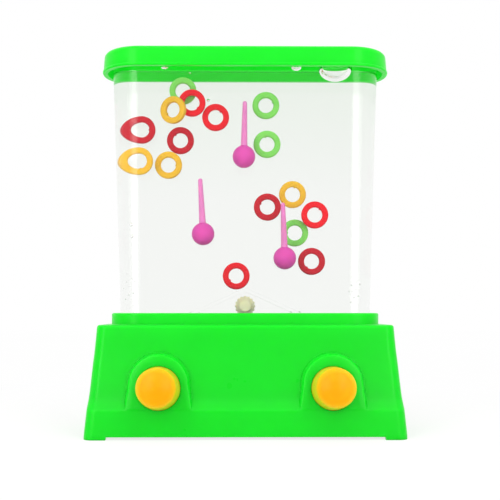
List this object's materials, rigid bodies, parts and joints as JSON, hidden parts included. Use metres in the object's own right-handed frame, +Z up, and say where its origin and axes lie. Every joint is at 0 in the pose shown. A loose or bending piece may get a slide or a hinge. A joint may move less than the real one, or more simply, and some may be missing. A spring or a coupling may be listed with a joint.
{
  "type": "water ring toss game",
  "caption": "Handheld water ring toss game: a clear water-filled tank with spiked pegs and loose rings under a cap, on a flared base with push-button pumps.",
  "frame": {"origin": "on the surface that the feet stand on, under the middle of the whole game seen from above", "axes": "+Z up through the lid, +X to the player's right, +Y away from the player, with the buttons on the -Y side"},
  "size_m": [0.1046, 0.0488, 0.1286],
  "materials": {
    "green_plastic": "glossy injection-moulded plastic",
    "clear_plastic": "clear polished moulded plastic",
    "magenta_plastic": "translucent moulded plastic",
    "orange_plastic": "smooth moulded plastic",
    "plug_yellow": "soft moulded plastic",
    "pump_rubber": "soft moulded rubber",
    "white_plastic": "plain moulded plastic",
    "screw_steel": "bright zinc-plated steel",
    "ring_green": "translucent moulded plastic",
    "ring_yellow": "translucent moulded plastic",
    "ring_red": "translucent moulded plastic",
    "ring_dark_red": "translucent moulded plastic",
    "water": "clear still water"
  },
  "bodies": {
    "game_body": {"base_housing": "green_plastic", "bottom_cover": "green_plastic", "screw_front_left": "screw_steel", "screw_front_right": "screw_steel", "screw_back_left": "screw_steel", "screw_back_right": "screw_steel", "tank": "clear_plastic", "tank_floor": "clear_plastic", "lid": "green_plastic", "peg_left": "magenta_plastic", "peg_middle": "magenta_plastic", "peg_right": "magenta_plastic", "pump_elbow_left": "white_plastic", "pump_elbow_right": "white_plastic", "bellows_left": "pump_rubber", "bellows_right": "pump_rubber"},
    "button_left": {"button_left": "orange_plastic"},
    "button_right": {"button_right": "orange_plastic"},
    "filler_plug": {"filler_plug": "plug_yellow"},
    "ring_green_1": {"ring_green_1": "ring_green"},
    "ring_green_2": {"ring_green_2": "ring_green"},
    "ring_green_3": {"ring_green_3": "ring_green"},
    "ring_green_4": {"ring_green_4": "ring_green"},
    "ring_yellow_1": {"ring_yellow_1": "ring_yellow"},
    "ring_yellow_2": {"ring_yellow_2": "ring_yellow"},
    "ring_yellow_3": {"ring_yellow_3": "ring_yellow"},
    "ring_yellow_4": {"ring_yellow_4": "ring_yellow"},
    "ring_red_1": {"ring_red_1": "ring_red"},
    "ring_red_2": {"ring_red_2": "ring_red"},
    "ring_red_3": {"ring_red_3": "ring_red"},
    "ring_red_4": {"ring_red_4": "ring_red"},
    "ring_dark_red_1": {"ring_dark_red_1": "ring_dark_red"},
    "ring_dark_red_2": {"ring_dark_red_2": "ring_dark_red"},
    "ring_dark_red_3": {"ring_dark_red_3": "ring_dark_red"},
    "ring_dark_red_4": {"ring_dark_red_4": "ring_dark_red"}
  },
  "joints": [
    {"name": "press_left", "type": "slide", "parent": "game_body", "child": "button_left", "axis": [0, 0.9954, -0.0958], "range_m": [0, 0.006], "stiffness_N_per_m": 350, "deforming": ["bellows_left"]},
    {"name": "press_right", "type": "slide", "parent": "game_body", "child": "button_right", "axis": [0, 0.9954, -0.0958], "range_m": [0, 0.006], "stiffness_N_per_m": 350, "deforming": ["bellows_right"]},
    {"name": "plug_pull", "type": "slide", "parent": "game_body", "child": "filler_plug", "axis": [0, 1, 0], "range_m": [0, 0.008]},
    {"name": "ring_green_1_float", "type": "slide", "parent": "game_body", "child": "ring_green_1", "axis": [0, 0, 1], "range_m": [-0.0036, 0.0011]},
    {"name": "ring_green_2_float", "type": "slide", "parent": "game_body", "child": "ring_green_2", "axis": [0, 0, 1], "range_m": [-0.0137, 0.0061]},
    {"name": "ring_green_3_float", "type": "slide", "parent": "game_body", "child": "ring_green_3", "axis": [0, 0, 1], "range_m": [-0.0058, 0.014]},
    {"name": "ring_green_4_float", "type": "slide", "parent": "game_body", "child": "ring_green_4", "axis": [0, 0, 1], "range_m": [-0.0035, 0.0017]},
    {"name": "ring_yellow_1_float", "type": "slide", "parent": "game_body", "child": "ring_yellow_1", "axis": [0, 0, 1], "range_m": [-0.0044, 0.0085]},
    {"name": "ring_yellow_2_float", "type": "slide", "parent": "game_body", "child": "ring_yellow_2", "axis": [0, 0, 1], "range_m": [-0.014, 0.014]},
    {"name": "ring_yellow_3_float", "type": "slide", "parent": "game_body", "child": "ring_yellow_3", "axis": [0, 0, 1], "range_m": [-0.014, 0.0044]},
    {"name": "ring_yellow_4_float", "type": "slide", "parent": "game_body", "child": "ring_yellow_4", "axis": [0, 0, 1], "range_m": [-0.0017, 0.003]},
    {"name": "ring_red_1_float", "type": "slide", "parent": "game_body", "child": "ring_red_1", "axis": [0, 0, 1], "range_m": [-0.0078, 0.0057]},
    {"name": "ring_red_2_float", "type": "slide", "parent": "game_body", "child": "ring_red_2", "axis": [0, 0, 1], "range_m": [-0.014, 0.0103]},
    {"name": "ring_red_3_float", "type": "slide", "parent": "game_body", "child": "ring_red_3", "axis": [0, 0, 1], "range_m": [-0.0031, 0.009]},
    {"name": "ring_red_4_float", "type": "slide", "parent": "game_body", "child": "ring_red_4", "axis": [0, 0, 1], "range_m": [0, 0.003]},
    {"name": "ring_dark_red_1_float", "type": "slide", "parent": "game_body", "child": "ring_dark_red_1", "axis": [0, 0, 1], "range_m": [-0.014, 0.014]},
    {"name": "ring_dark_red_2_float", "type": "slide", "parent": "game_body", "child": "ring_dark_red_2", "axis": [0, 0, 1], "range_m": [-0.014, 0.0036]},
    {"name": "ring_dark_red_3_float", "type": "slide", "parent": "game_body", "child": "ring_dark_red_3", "axis": [0, 0, 1], "range_m": [-0.014, 0.0058]},
    {"name": "ring_dark_red_4_float", "type": "slide", "parent": "game_body", "child": "ring_dark_red_4", "axis": [0, 0, 1], "range_m": [-0.0132, 0.0031]}
  ]
}
